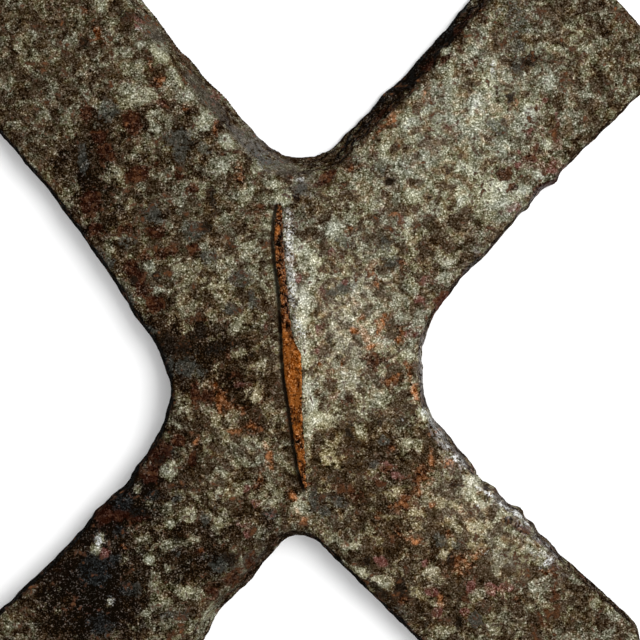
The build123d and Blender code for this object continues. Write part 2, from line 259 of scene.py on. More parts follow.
# Dark red-brown oxide
OXBLOOD_STAINS = [
    Stain(132, 123, 12, 15, 1.1), Stain(106, 153, 8, 9, 1.4), Stain(153, 163, 7, 7, 0.8),
    Stain(163, 103, 8, 6, 0.9), Stain(99, 138, 10, 9), Stain(236, 152, 9, 6, 0.5, -30),
    Stain(192, 189, 8, 5, 1.1, -20), Stain(262, 210, 9, 7, 0.6), Stain(90, 203, 9, 12, 1.7),
    Stain(138, 173, 13, 8, 1.5, 20), Stain(86, 112, 6, 9, 1.3), Stain(178, 176, 6, 7, 0.9),
    Stain(95, 229, 9, 7, 1.1), Stain(126, 229, 9, 5, 1.1), Stain(157, 232, 9, 6, 1.8),
    Stain(130, 268, 7, 8, 1.9), Stain(140, 281, 5, 10, 1.8), Stain(166, 253, 12, 5, 1.7, 20),
    Stain(146, 257, 5, 5, 1.2), Stain(142, 291, 7, 7, 1.3), Stain(155, 303, 8, 7, 1.9),
    Stain(193, 249, 7, 7, 1.1), Stain(235, 376, 13, 7, 0.6), Stain(207, 398, 9, 11, 0.9),
    Stain(195, 392, 5, 12, 1.2), Stain(178, 441, 6, 5, 2.5), Stain(160, 452, 13, 10, 1.5, 45),
    Stain(150, 474, 9, 11, 1.3), Stain(193, 461, 5, 8, 1.2), Stain(104, 514, 9, 12, 1.2),
    Stain(121, 516, 11, 6, 1.1), Stain(140, 518, 12, 5, 0.9), Stain(213, 594, 9, 11, 0.9, -45),
    Stain(232, 578, 10, 7, 1.1, 40), Stain(252, 561, 7, 13, 0.7, -35), Stain(246, 385, 9, 4, 0.7),
    Stain(468, 18, 9, 5, 0.5, 45), Stain(458, 30, 10, 5, 0.6, 45), Stain(446, 58, 9, 4, 1, 45),
    Stain(428, 66, 10, 5, 1, 45), Stain(398, 93, 12, 4, 0.5, 45), Stain(383, 113, 13, 4, 0.7, 45),
    Stain(461, 50, 5, 5, 0.7), Stain(463, 64, 4, 4, 0.7), Stain(503, 174, 7, 6, 1.2),
    Stain(514, 187, 5, 4, 1.1), Stain(489, 229, 4, 8, 0.6), Stain(544, 187, 14, 4, 1.6, 30),
    Stain(548, 166, 9, 8, 0.4), Stain(530, 158, 5, 4), Stain(322, 331, 3, 5, 0.5), Stain(321, 308, 7, 8, 0.5),
    Stain(347, 401, 9, 8, 0.6), Stain(376, 362, 17, 9, 0.9), Stain(320, 293, 4, 5, 0.4),
    Stain(378, 408, 6, 4, 0.6), Stain(354, 497, 13, 9, 0.8), Stain(377, 482, 10, 6, 0.4),
    Stain(386, 470, 9, 6, 0.5), Stain(374, 528, 8, 5, 0.4), Stain(465, 598, 4, 12, 0.4),
    Stain(476, 575, 4, 6, 0.6), Stain(521, 529, 10, 4, 1.3, -25), Stain(554, 592, 7, 20, 0.5),
    Stain(545, 621, 10, 14, 0.4), Stain(440, 300, 12, 6, 0.6, 30), Stain(258, 487, 5, 6, 0.8),
    Stain(326, 178, 12, 4, 1.7, 40), Stain(556, 128, 6, 9, 0.5), Stain(536, 148, 6, 4, 0.4, 20),
    Stain(545, 105, 5, 6, 0.4), Stain(552, 60, 5, 12, 0.5),
]

# Brown and orange-brown oxide
RUST_STAINS = [
    Stain(98, 32, 10, 7, 1.2, -45), Stain(151, 66, 6, 8), Stain(160, 81, 8, 8), Stain(185, 106, 6, 9, 0.9),
    Stain(216, 130, 5, 12, 0.9), Stain(240, 177, 9, 8, 0.9), Stain(133, 124, 5, 7, 0.5),
    Stain(290, 177, 5, 8, 0.7), Stain(87, 8, 7, 8, 0.7), Stain(90, 117, 5, 12, 0.6),
    Stain(138, 21, 6, 6, 0.5), Stain(240, 163, 5, 4, 0.6), Stain(481, 12, 9, 6, 0.6, 30),
    Stain(496, 29, 3, 11, 0.5), Stain(476, 62, 4, 8, 0.8), Stain(457, 57, 4, 9, 0.7),
    Stain(536, 60, 7, 5, 0.6), Stain(441, 86, 4, 9, 0.9), Stain(464, 113, 5, 4, 0.9),
    Stain(452, 127, 6, 4, 0.6), Stain(457, 138, 6, 8, 0.6), Stain(428, 134, 4, 8, 0.7),
    Stain(377, 134, 9, 4, 0.6, 45), Stain(372, 148, 4, 11, 0.9), Stain(344, 181, 6, 5, 0.6),
    Stain(356, 168, 11, 5, 1.1, 15), Stain(361, 157, 12, 4, 0.6, 42), Stain(403, 266, 5, 6, 1.2),
    Stain(402, 331, 8, 7), Stain(399, 343, 6, 5, 1.6), Stain(392, 381, 13, 6, 1.2, 10),
    Stain(361, 356, 9, 6, 0.7), Stain(336, 258, 3, 9, 0.6, -60), Stain(188, 311, 7, 7, 0.5),
    Stain(202, 320, 8, 4, 0.8), Stain(222, 400, 6, 12, 1.2), Stain(240, 408, 11, 5, 0.9, -20),
    Stain(252, 426, 10, 7, 0.9), Stain(195, 441, 6, 6, 0.7), Stain(260, 478, 7, 10, 1, -20),
    Stain(123, 548, 8, 4, 0.8), Stain(200, 551, 7, 4, 0.8), Stain(252, 559, 4, 11, 0.7, -35),
    Stain(338, 490, 8, 8, 0.8), Stain(392, 448, 8, 5, 0.7), Stain(390, 506, 8, 5, 0.6),
    Stain(405, 496, 12, 7, 0.7, 10), Stain(420, 488, 7, 7, 0.5), Stain(428, 479, 6, 11, 0.9),
    Stain(420, 520, 6, 5, 0.7), Stain(406, 533, 8, 6, 0.8), Stain(390, 541, 7, 4, 0.5),
    Stain(378, 515, 7, 5, 0.7), Stain(404, 600, 5, 4, 1.3), Stain(448, 534, 4, 6, 1.1),
    Stain(466, 563, 9, 9, 1.3, 45), Stain(472, 550, 11, 4, 0.9, 10), Stain(482, 552, 8, 4, 1.4, 20),
    Stain(440, 598, 5, 6, 1.3), Stain(493, 590, 8, 5), Stain(518, 600, 5, 7, 0.8),
    Stain(545, 571, 9, 4, 0.9, -30), Stain(451, 464, 9, 5, 0.7), Stain(409, 376, 4, 11, 1.1),
    Stain(424, 474, 18, 14, 0.9, 60), Stain(408, 506, 18, 9, 0.9, 15), Stain(404, 533, 14, 9, 0.8),
    Stain(456, 560, 15, 10, 0.9, 35), Stain(500, 592, 16, 7, 0.7), Stain(386, 470, 14, 12, 0.6),
    Stain(310, 484, 6, 4, 0.8, -30), Stain(430, 436, 4, 8, 0.5), Stain(228, 355, 4, 7, 0.7),
    Stain(215, 386, 5, 6), Stain(194, 390, 3, 10, 0.4), Stain(363, 270, 3, 8, 0.4),
    Stain(376, 284, 3, 8, 0.8), Stain(320, 366, 4, 8, 1.3), Stain(342, 362, 3, 6, 1.2),
    Stain(322, 339, 8, 4, 0.9), Stain(508, 163, 6, 4, 0.6),
]

# Bare and orange copper
COPPER_STAINS = [
    Stain(98, 36, 7, 4, 0.8, -50), Stain(161, 82, 4, 4, 0.8), Stain(127, 124, 4, 3, 0.7),
    Stain(240, 166, 4, 4, 0.8), Stain(392, 118, 11, 4, 0.9, 45), Stain(426, 95, 6, 4, 0.9, 20),
    Stain(376, 134, 7, 3, 0.4, 45), Stain(517, 106, 3, 8, 0.7), Stain(393, 214, 6, 3, 0.4),
    Stain(349, 229, 5, 3, 0.9), Stain(335, 262, 3, 6, 0.6, -60), Stain(373, 270, 3, 7, 0.7),
    Stain(378, 285, 2, 6, 0.6), Stain(354, 301, 4, 6, 0.8), Stain(362, 318, 5, 4, 1.4),
    Stain(366, 337, 10, 4, 2.1, -60), Stain(356, 331, 7, 3, 2.1), Stain(380, 326, 3, 8, 2),
    Stain(386, 316, 4, 5), Stain(370, 346, 5, 4, 1.9), Stain(399, 338, 3, 7, 1.1, -30),
    Stain(418, 327, 5, 3, 0.4, 35), Stain(400, 374, 8, 3, 0.6, 10), Stain(409, 372, 3, 10, 1, 10),
    Stain(414, 391, 3, 5, 2.2), Stain(416, 398, 3, 4, 1.1), Stain(216, 385, 4, 5, 1.1),
    Stain(219, 402, 3, 12, 1.6), Stain(236, 408, 9, 4, 0.8, -20), Stain(233, 430, 7, 3),
    Stain(253, 427, 7, 4, 0.9, -20), Stain(194, 441, 4, 5, 0.6), Stain(266, 447, 6, 3, 1.1, -50),
    Stain(270, 455, 3, 9, 1.1, -10), Stain(271, 464, 3, 7, 1.1), Stain(293, 496, 5, 4, 1.5, -40),
    Stain(304, 518, 7, 4, 0.9), Stain(298, 510, 4, 4, 0.9), Stain(431, 460, 4, 10, 0.9),
    Stain(447, 462, 9, 4, 0.8), Stain(437, 458, 4, 4, 0.7), Stain(427, 480, 4, 10, 0.6),
    Stain(417, 492, 10, 5, 0.6, 20), Stain(403, 503, 8, 4, 0.6), Stain(432, 502, 3, 8, 0.9),
    Stain(414, 541, 8, 5, 0.7), Stain(408, 532, 5, 4, 0.6), Stain(378, 514, 5, 4, 0.7),
    Stain(343, 545, 4, 4, 0.7), Stain(448, 533, 3, 4), Stain(460, 509, 3, 7, 0.6), Stain(458, 571, 6, 6),
    Stain(466, 564, 4, 7, 0.8), Stain(474, 559, 6, 3, 1.3, 20), Stain(441, 601, 4, 5, 0.9),
    Stain(545, 572, 7, 3, 0.9, -30), Stain(333, 373, 4, 5, 0.6), Stain(438, 430, 3, 3, 0.7),
]

# Maroon and purple oxide
MAROON_STAINS = [
    Stain(216, 98, 8, 6, 0.4, -50), Stain(137, 24, 8, 7, 0.4, -50), Stain(163, 103, 5, 4, 0.7),
    Stain(504, 173, 6, 5, 0.4), Stain(514, 187, 4, 3, 0.6), Stain(548, 166, 12, 9, 0.8),
    Stain(529, 160, 8, 6, 0.8), Stain(557, 146, 6, 6), Stain(541, 130, 7, 5, 0.4), Stain(530, 131, 6, 5, 0.5),
    Stain(538, 110, 5, 9, 0.4), Stain(489, 228, 4, 8, 0.4), Stain(513, 207, 8, 4, 1.1, 25),
    Stain(401, 219, 4, 4, 0.6), Stain(266, 323, 3, 3, 0.7), Stain(298, 277, 3, 7, 1.4), Stain(321, 293, 4, 5),
    Stain(320, 331, 4, 6, 1.7), Stain(317, 352, 3, 8, 0.7), Stain(426, 280, 8, 6, 0.4),
    Stain(441, 300, 12, 7, 0.6, 30), Stain(331, 252, 3, 4, 0.7), Stain(345, 282, 3, 4, 0.9),
    Stain(412, 334, 7, 6, 1.1), Stain(105, 552, 5, 5, 1.4), Stain(247, 488, 5, 4), Stain(256, 503, 4, 4),
    Stain(243, 525, 9, 3, 0.5), Stain(247, 533, 3, 5, 1.1), Stain(381, 561, 8, 4, 1.3, -10),
    Stain(426, 564, 4, 4, 1.2), Stain(432, 592, 5, 4, 2.4), Stain(471, 587, 4, 5, 2.2),
    Stain(438, 612, 4, 4, 2.4), Stain(464, 612, 4, 4, 2.1), Stain(491, 589, 6, 5, 1.8),
    Stain(506, 588, 5, 4, 2.1), Stain(395, 475, 7, 5, 0.6), Stain(386, 467, 9, 6, 0.7),
    Stain(378, 480, 8, 6, 0.4), Stain(552, 186, 8, 5, 0.8), Stain(518, 166, 8, 4, 0.7),
    Stain(240, 384, 11, 4, 0.6), Stain(90, 606, 7, 6, 0.4), Stain(451, 127, 5, 4, 0.8),
    Stain(418, 300, 8, 8, 0.5), Stain(330, 397, 12, 7, 0.6), Stain(418, 419, 6, 3, 0.5),
    Stain(270, 515, 6, 4, 0.4), Stain(556, 118, 6, 10, 0.5), Stain(536, 146, 9, 5, 0.4, 20),
    Stain(520, 150, 5, 6, 0.4), Stain(546, 100, 5, 8, 0.5),
]

# Banks where the metal is smooth and thinly oxidised; the lighter grey they are given is partly a painted
# sheen
SMOOTH_STAINS = [
    Stain(155, 35, 30, 11, 1, -55), Stain(205, 95, 40, 10, 1, -50), Stain(247, 140, 26, 14, 1, -42),
    Stain(280, 168, 24, 11, 1, -10), Stain(310, 180, 20, 10, 0.8, 10), Stain(245, 565, 34, 9, 1, 42),
    Stain(215, 600, 22, 8, 0.8, 55), Stain(504, 561, 20, 15, 0.7), Stain(449, 86, 9, 9, 0.5),
    Stain(436, 122, 8, 12, 0.5), Stain(493, 70, 5, 14, 0.5), Stain(438, 427, 26, 7, 0.9, -64),
]

# Painted highlights: white glints along the ridge's crest and the rims, with a few real white specks and a
# scratch
GLINT_AND_SPECK_STAINS = [
    Stain(289, 238, 26, 5, 0.7, -88), Stain(291, 286, 24, 3.5, 0.8, -86), Stain(299, 326, 15, 4.5, 0.7, -65),
    Stain(447, 446, 3, 6, 0.7, 60), Stain(455, 458, 4, 4, 1.2, -45), Stain(463, 464, 2.5, 5, 0.7, 20),
    Stain(473, 478, 1.6, 4, 0.4, 20), Stain(479, 489, 4, 1.6, 1.2, -30), Stain(489, 494, 6, 1.8, 1.7, -33),
    Stain(501, 504, 4, 2.2, 1.1, -35), Stain(507, 508, 3, 2, 0.8), Stain(516, 513, 4, 3, 1.3, -20),
    Stain(521, 517, 3, 2.4, 1.3, -40), Stain(527, 523, 2.2, 4, 1.5, 20), Stain(521, 525, 4, 1.6, 0.6, -10),
    Stain(539, 538, 2, 5, 0.7, 25), Stain(548, 545, 3, 4, 0.7, 25), Stain(536, 554, 7, 1.8, 0.6, -8),
    Stain(548, 562, 9, 3, 1.2, 40), Stain(140, 29, 4, 3, 0.6), Stain(300, 179, 6, 4, 0.5),
    Stain(493, 68, 2.5, 8, 0.8), Stain(99, 541, 3, 6, 1.7), Stain(111, 601, 3, 4, 0.8),
    Stain(222, 100, 4, 3, 0.6, -50), Stain(404, 421, 6, 1.2, 0.8, -25), Stain(475, 504, 9, 1.2, 0.8, -30),
    Stain(487, 552, 7, 1.2, 1, 10), Stain(432, 421, 9, 3, 0.6, -60), Stain(439, 433, 5, 4, 0.7, -60),
    Stain(425, 412, 5, 4, 1, -50),
]

# Rims and places that are glossy
GLOSS_STAINS = [
    Stain(290, 265, 55, 6, 0.8, -88), Stain(438, 434, 30, 6, 0.4, -62), Stain(460, 463, 22, 5, 0.5, -55),
    Stain(488, 494, 22, 4, 0.5, -28), Stain(515, 517, 22, 5, 0.6, -40), Stain(543, 550, 24, 6, 0.5, -45),
    Stain(302, 188, 14, 10, 0.6), Stain(255, 148, 40, 12, 0.3, -40), Stain(482, 105, 16, 14, 0.4),
    Stain(530, 198, 36, 5, 0.25, 40), Stain(478, 252, 36, 5, 0.2, 48), Stain(99, 545, 6, 12, 0.5),
    Stain(422, 365, 5, 30, 0.5),
]

# The layers that are painted on the cross for its patina
PAINTED = (
    "ground", "pale", "warm", "slate", "black", "oxblood", "rust", "copper", "maroon", "smooth", "frost",
    "gloss", "flank", "flank_glow", "groove")

# How sharply stains end: most of them sharply, the broad tones and the bare copper softly, rust most softly
SHARP_EDGE = 2.2
SOFT_EDGE = 1.6
SOFTEST_EDGE = 1.5

# The noises that break up the patina: the length of their features in millimetres, how detailed, rough and
# warped they are, and how far each is moved, so that no two agree
Noise = namedtuple("Noise", "length detail roughness warp shift")
NOISES = {
    "grain": Noise(0.36, 0, 0.5, 0, 0),
    "speckle": Noise(0.62, 1, 0.6, 0, 0.31),
    "threads": Noise(0.95, 1, 0.55, 0, 0.05),
    "mottle": Noise(1.5, 1, 0.6, 0.3, 0.53),
    "hollows": Noise(2.4, 1, 0.5, 0.6, 0.67),
    "hue": Noise(2.4, 1, 0.5, 0.5, 0.95),
    "isles": Noise(3.5, 2, 0.6, 0.8, 0.21),
    "cloud": Noise(4.0, 2, 0.55, 0.4, 0.77),
    "stain_hue": Noise(6.5, 2, 0.55, 0.5, 0.43),
    "bank": Noise(10, 2, 0.5, 0, 0.12),
}

# Where each shade of the patina lies between the darkest tone, 0, and the lightest, 1
Tone = namedtuple("Tone", "place shade")
TONES = [
    Tone(0.03, "black"), Tone(0.11, "soot"), Tone(0.21, "umber"), Tone(0.34, "olive"),
    Tone(0.46, "drab"), Tone(0.60, "khaki"), Tone(0.76, "straw"), Tone(1.0, "cream"),
]

# The tone of a middling stretch of ground, and the tone under which the ground counts as dark
MIDDLE_GROUND = 0.36
DARK_GROUND = 0.32

# Tints between which the colour of the crust wanders, as factors of its red, green and blue
PLAIN = (1, 1, 1)
BLUISH = (0.97, 1.005, 1.14)
YELLOWISH = (1.01, 1, 0.965)
GREENISH = (0.94, 1.02, 0.97)
REDDISH = (1.15, 0.97, 0.88)
BROWNISH = (1.14, 0.97, 0.82)

# How high the finest grain stands, which only the light shows
GRAIN_HEIGHT = 0.35 * MM

# The ridge's crest and the groove at its foot: how high and how deep they are made, and how wide
CREST_RISE = 0.35 * MM
CREST_WIDTH = 0.75 * MM
GROOVE_DEPTH = 0.55 * MM
GROOVE_WIDTH = 0.55 * MM

# Heights between which the sides of the cross give way to its face and ridge
SIDES_END = 5 * MM
FACE_BEGINS = 7 * MM

# Heights between which the painted glints and white specks fade away down the sides
GLINT_AND_SPECK_END = 2.5 * MM
GLINT_AND_SPECK_BEGIN = 5.5 * MM


def from_picture(across, down):
    """The place on the cross, in metres, that a pixel of the picture shows."""
    return (across - ORIGIN_ACROSS) * PIXEL, (ORIGIN_DOWN - down) * PIXEL


def linear(*colour):
    """A colour read from a picture, from 0 to 255, as the shaders want it."""
    return tuple(((c / 255 + 0.055) / 1.055) ** 2.4 if c > 10 else c / 255 / 12.92 for c in colour)


def select_only(piece):
    """Deselects everything and makes one piece the selected and active one."""
    bpy.ops.object.select_all(action="DESELECT")
    piece.select_set(True)
    bpy.context.view_layer.objects.active = piece


def finish_modifier(piece, kind, **settings):
    """Adds a modifier with its settings and applies it."""
    modifier = piece.modifiers.new(kind.lower(), kind)
    for name, value in settings.items():
        setattr(modifier, name, value)
    select_only(piece)
    bpy.ops.object.modifier_apply(modifier=modifier.name)


def places(piece):
    """The places of a piece's vertices, one row each."""
    flat = np.empty(len(piece.data.vertices) * 3, np.float32)
    piece.data.vertices.foreach_get("co", flat)
    return flat.reshape(-1, 3).astype(float)


def put_places(piece, spots):
    """Moves a piece's vertices to the given places."""
    piece.data.vertices.foreach_set("co", spots.astype(np.float32).ravel())
    piece.data.update()


def outward(piece):
    """The outward direction at each vertex."""
    flat = np.empty(len(piece.data.vertices) * 3, np.float32)
    piece.data.vertex_normals.foreach_get("vector", flat)
    return flat.reshape(-1, 3).astype(float)


def as_seen(spots):
    """Where on the floor each place appears to lie, seen from the camera."""
    middle = np.array(from_picture(PICTURE_SIDE / 2, PICTURE_SIDE / 2))
    return middle + (spots[:, :2] - middle) / (1 - spots[:, 2:] / CAMERA_HEIGHT)


def stain_strength(stains, spots, edge=SHARP_EDGE):
    """How strongly the strongest of the stains covers each place: fully in its middle, fading at its edge."""
    strength = np.zeros(len(spots))
    seen = as_seen(spots)
    for stain in stains:
        x, y = from_picture(stain.across, stain.down)
        lean = radians(stain.lean)
        dx = seen[:, 0] - x
        dy = seen[:, 1] - y
        along = (dx * cos(lean) + dy * sin(lean)) / (stain.long * PIXEL)
        aside = (dy * cos(lean) - dx * sin(lean)) / (stain.wide * PIXEL)
        fade = np.exp(-((along**2 + aside**2) ** (edge / 2)))
        strength = np.maximum(strength, stain.strength * fade)
    return strength


def along_ridge(spots, readings):
    """What is read at the ridge's stations, at the place of each spot between head and foot."""
    stations = [from_picture(0, station.down)[1] for station in RIDGE]
    return np.interp(spots[:, 1], stations[::-1], readings[::-1])


def ridge_lines(spots):
    """The ridge's left foot and crest, as x, at each place's y, and how far the place is inside its length."""
    foot = along_ridge(spots, [from_picture(station.foot, 0)[0] for station in RIDGE])
    crest = along_ridge(spots, [from_picture(station.crest, 0)[0] for station in RIDGE])
    head_y = from_picture(0, RIDGE[0].down)[1]
    foot_y = from_picture(0, RIDGE[-1].down)[1]
    inside = np.minimum(spots[:, 1] - foot_y, head_y - spots[:, 1])
    return foot, crest, inside


def smooth_step(value, low, high):
    """0 under low, 1 over high, and a smooth rise between."""
    share = np.clip((value - low) / (high - low), 0, 1)
    return share * share * (3 - 2 * share)


class CrossForm(bpy.types.PropertyGroup):
    """Sizes of the casting's unevenness."""

    grain_of_mesh: bpy.props.FloatProperty(
        name="Mesh grain", description="Edge length of the casting's mesh",
        default=0.57 * MM, min=0.45 * MM, unit="LENGTH", precision=5)
    swell_height: bpy.props.FloatProperty(
        name="Swell height", description="Height of the broad swells that the mould left",
        default=1.6 * MM, unit="LENGTH", precision=5)
    swell_length: bpy.props.FloatProperty(
        name="Swell length", description="Length of the broad swells",
        default=13 * MM, unit="LENGTH", precision=5)
    dimple_height: bpy.props.FloatProperty(
        name="Dimple height", description="Height of the dimples between the swells",
        default=1.5 * MM, unit="LENGTH", precision=5)
    dimple_length: bpy.props.FloatProperty(
        name="Dimple length", description="Length of the dimples",
        default=5.5 * MM, unit="LENGTH", precision=5)
    lump_height: bpy.props.FloatProperty(
        name="Lump height", description="Height of the lumps of the crust",
        default=0.9 * MM, unit="LENGTH", precision=5)
    lump_length: bpy.props.FloatProperty(
        name="Lump length", description="Length of the lumps of the crust",
        default=2.8 * MM, unit="LENGTH", precision=5)
    crust_height: bpy.props.FloatProperty(
        name="Crust height", description="How far the pale crust stands up",
        default=0.12 * MM, unit="LENGTH", precision=5)
    stain_depth: bpy.props.FloatProperty(
        name="Stain depth", description="How deep the dark places lie",
        default=0.22 * MM, unit="LENGTH", precision=5)
    pit_depth: bpy.props.FloatProperty(
        name="Pit depth", description="Depth of the small pits of the sand-cast skin",
        default=0.5 * MM, unit="LENGTH", precision=5)
    pit_length: bpy.props.FloatProperty(
        name="Pit length", description="Size of the small pits",
        default=1.5 * MM, unit="LENGTH", precision=5)


def tint(name, description, *seen):
    """A colour of the patina, from what is seen of it in the picture, from 0 to 255."""
    return bpy.props.FloatVectorProperty(
        name=name, description=description, subtype="COLOR", min=0, max=1,
        default=[part / LIGHT_ON_FACE for part in linear(*seen)])


class CrossPatina(bpy.types.PropertyGroup):
    """Colours of the patina, some of which also paint shade and glints."""

    # Black also paints the shade in the groove at the foot of the ridge's flank
    black: tint("Black oxide", "Colour of the deepest pits", 15, 9, 5)
    soot: tint("Soot-brown oxide", "Colour of the dark skin", 32, 25, 18)
    umber: tint("Umber oxide", "Colour of the brown skin", 56, 47, 36)
    olive: tint("Olive patina", "Colour of the darker half of the face", 85, 76, 58)
    drab: tint("Drab patina", "Colour of the lighter half of the face", 110, 101, 81)
    khaki: tint("Khaki crust", "Colour of the crust", 138, 130, 108)
    straw: tint("Straw crust", "Colour of the crust's pale grains", 169, 162, 140)
    cream: tint("Cream crust", "Colour of the crust's palest grains", 221, 214, 196)
    # Slate, and in the dark ground deep slate and pitch, also colour the painted shade of the left-facing
    # sides
    slate: tint("Slate", "Colour of the blue-grey places", 70, 72, 66)
    deep_slate: tint("Deep slate", "Colour of the blue-black places in the darker parts", 34, 37, 37)
    oxblood: tint("Oxblood oxide", "Colour of the dark red-brown patches", 51, 27, 18)
    pitch: tint("Pitch", "Colour of the blackest places in the darker parts", 20, 21, 20)
    rust: tint("Brown oxide", "Colour of the brown patches", 118, 74, 42)
    copper: tint("Bare copper", "Colour of the bare copper", 180, 122, 80)
    bright_copper: tint("Bright copper", "Colour of the brightest copper on the ridge's flank", 176, 104, 44)
    # The painted highlights along the crest and the rims, and the few white specks
    frost: tint("Glints and specks", "Colour of the bright beads along the crest and the rims", 214, 215, 212)
    skin: tint("Brown skin", "Colour of the brown skin between the islands of crust", 62, 50, 36)
    maroon: tint("Maroon oxide", "Colour of the maroon specks", 116, 78, 70)
    # The banks' light grey is their thin oxide and partly a painted sheen
    bank: tint("Smooth bank", "Colour of the smooth, thinly oxidised banks", 98, 95, 86)


class CrossStage(bpy.types.PropertyGroup):
    """The camera, the floor and the lights."""

    lens: bpy.props.FloatProperty(
        name="Lens", description="Focal length in millimetres", default=LENS)
    floor_size: bpy.props.FloatProperty(
        name="Floor size", description="Side of the square floor", default=4.0, unit="LENGTH")
    key_power: bpy.props.FloatProperty(
        name="Key power", description="Power of the softbox on the right", default=8.8, unit="POWER")
    fill_power: bpy.props.FloatProperty(
        name="Fill power", description="Power of each soft fill", default=2.5, unit="POWER")
    sky: bpy.props.FloatProperty(
        name="Sky", description="Brightness of the white room around", default=0.45)


def opaque(colour):
    """A colour with its alpha, which a colour from a node already has."""
    return colour if isinstance(colour, bpy.types.NodeSocket) else (*colour, 1.0)


class Signal:
    """A number that varies over a surface: operators on it add Math nodes to its finish."""

    def __init__(self, finish, socket):
        self.finish = finish
        self.socket = socket

    def __add__(self, other):
        return self.finish.maths("ADD", self, other)

    def __radd__(self, other):
        return self.finish.maths("ADD", other, self)

    def __sub__(self, other):
        return self.finish.maths("SUBTRACT", self, other)

    def __rsub__(self, other):
        return self.finish.maths("SUBTRACT", other, self)

    def __mul__(self, other):
        return self.finish.maths("MULTIPLY", self, other)

    def __rmul__(self, other):
        return self.finish.maths("MULTIPLY", other, self)

    def __abs__(self):
        return self.finish.maths("ABSOLUTE", self, 0)

    def between(self, low, high):
        """0 under low, 1 over high, and a smooth rise between."""
        node = self.finish.node("MapRange", {"interpolation_type": "SMOOTHSTEP"}, {
            "Value": self, "From Min": low, "From Max": high})
        return Signal(self.finish, node.outputs["Result"])


class Finish:
    """A material in the making, which adds and links its nodes."""

    MIX_FACTOR = 0
    MIX_FIRST = 6
    MIX_SECOND = 7
    MIX_COLOUR = 2
    EYE_GAMMA = 2.2
    DEEPEST = (0.075, 0.06, 0.042)

    def __init__(self, name):
        self.material = bpy.data.materials.new(name)
        self.material.use_nodes = True
        self.tree = self.material.node_tree
        self.tree.nodes.clear()

    def node(self, kind, settings, inputs):
        """Adds a node of a kind, makes its settings, and gives its sockets their values or links."""
        node = self.tree.nodes.new("ShaderNode" + kind)
        for name, value in settings.items():
            setattr(node, name, value)
        for name, value in inputs.items():
            if isinstance(value, Signal):
                value = value.socket
            if isinstance(value, bpy.types.NodeSocket):
                self.tree.links.new(value, node.inputs[name])
            else:
                node.inputs[name].default_value = value
        return node

    def maths(self, operation, first, second):
        """One Math node, as a signal."""
        node = self.node("Math", {"operation": operation}, {0: first, 1: second})
        return Signal(self, node.outputs["Value"])

    def painted(self, name):
        """What is painted on the piece under a name, as a signal."""
        return Signal(self, self.node("Attribute", {"attribute_name": name}, {}).outputs["Fac"])

    def noise(self, place, noise):
        """A noise around 0, from about -0.5 to 0.5."""
        if noise.shift:
            shift = (noise.shift, noise.shift, noise.shift)
            place = self.node("VectorMath", {"operation": "ADD"}, {0: place, 1: shift}).outputs[0]
        node = self.node("TexNoise", {}, {
            "Vector": place, "Scale": 1 / (noise.length * MM), "Detail": noise.detail,
            "Roughness": noise.roughness, "Distortion": noise.warp})
        return Signal(self, node.outputs["Fac"]) - 0.5

    def brighten(self, colour, amount):
        """A colour made lighter or darker by an amount, evenly to the eye, with its hue kept."""
        seen = self.node("Gamma", {}, {"Color": opaque(colour), "Gamma": 1 / self.EYE_GAMMA}).outputs["Color"]
        three = self.node("CombineXYZ", {}, {"X": amount, "Y": amount, "Z": amount}).outputs["Vector"]
        seen = self.node("VectorMath", {"operation": "ADD"}, {0: seen, 1: three}).outputs["Vector"]
        seen = self.node("VectorMath", {"operation": "MAXIMUM"}, {0: seen, 1: self.DEEPEST}).outputs["Vector"]
        return self.node("Gamma", {}, {"Color": seen, "Gamma": self.EYE_GAMMA}).outputs["Color"]

    def mix(self, share, first, second, blend="MIX"):
        """A colour between two, by a signal."""
        node = self.node("Mix", {"data_type": "RGBA", "blend_type": blend, "clamp_factor": True}, {
            self.MIX_FACTOR: share, self.MIX_FIRST: opaque(first), self.MIX_SECOND: opaque(second)})
        return node.outputs[self.MIX_COLOUR]

    def show(self, shader):
        """Makes a shader what the material shows."""
        self.node("OutputMaterial", {}, {"Surface": shader.outputs["BSDF"]})


def lay_crust(at):
    """Works out where the crust, the hollows in it, the brown skin and the oxides lie."""
    at.breakup = at.mottle * 0.9 + at.cloud * 0.8
    at.light = (at.ground - MIDDLE_GROUND) * 1.2
    # The dark ground also holds the painted shade of the sides, where slate and black turn deeper
    at.dark = (DARK_GROUND - at.ground).between(0, DARK_GROUND / 2)
    at.calm = 1 - at.smooth * 0.5
    at.pale_mask = (at.pale + at.breakup * 1.4).between(0.25, 0.6)
    crust = at.isles * 2.2 + at.cloud * 0.6 + at.bank * 0.3 + at.pale * 0.5 - at.black * 0.8 + at.light * 0.9
    at.crust = crust.between(-0.12, 0.24)
    hollow = at.hollows * 2.2 + at.cloud * 0.5 - at.bank * 0.4 - at.pale * 0.7 + at.slate * 0.3 - at.light
    at.hollow = hollow.between(0.02, 0.3)
    skin = at.hollows * 1.6 - at.isles * 1.8 + at.warm * 0.4 - at.pale * 0.6 - at.light * 0.5
    at.skin = skin.between(-0.05, 0.3)
    at.bare = 1 - at.crust * 0.5
    at.slate_mask = (at.slate + at.breakup * 1.8 + at.speckle * 0.8).between(0.2, 0.75)
    at.oxblood_mask = (at.oxblood + at.breakup * 1.6).between(0.2, 0.7)
    at.black_mask = (at.black + at.breakup * 2.4 + at.speckle).between(0.3, 0.75)
    at.copper_mask = (at.copper + at.breakup * 1.4).between(0.1, 0.95) * at.bare


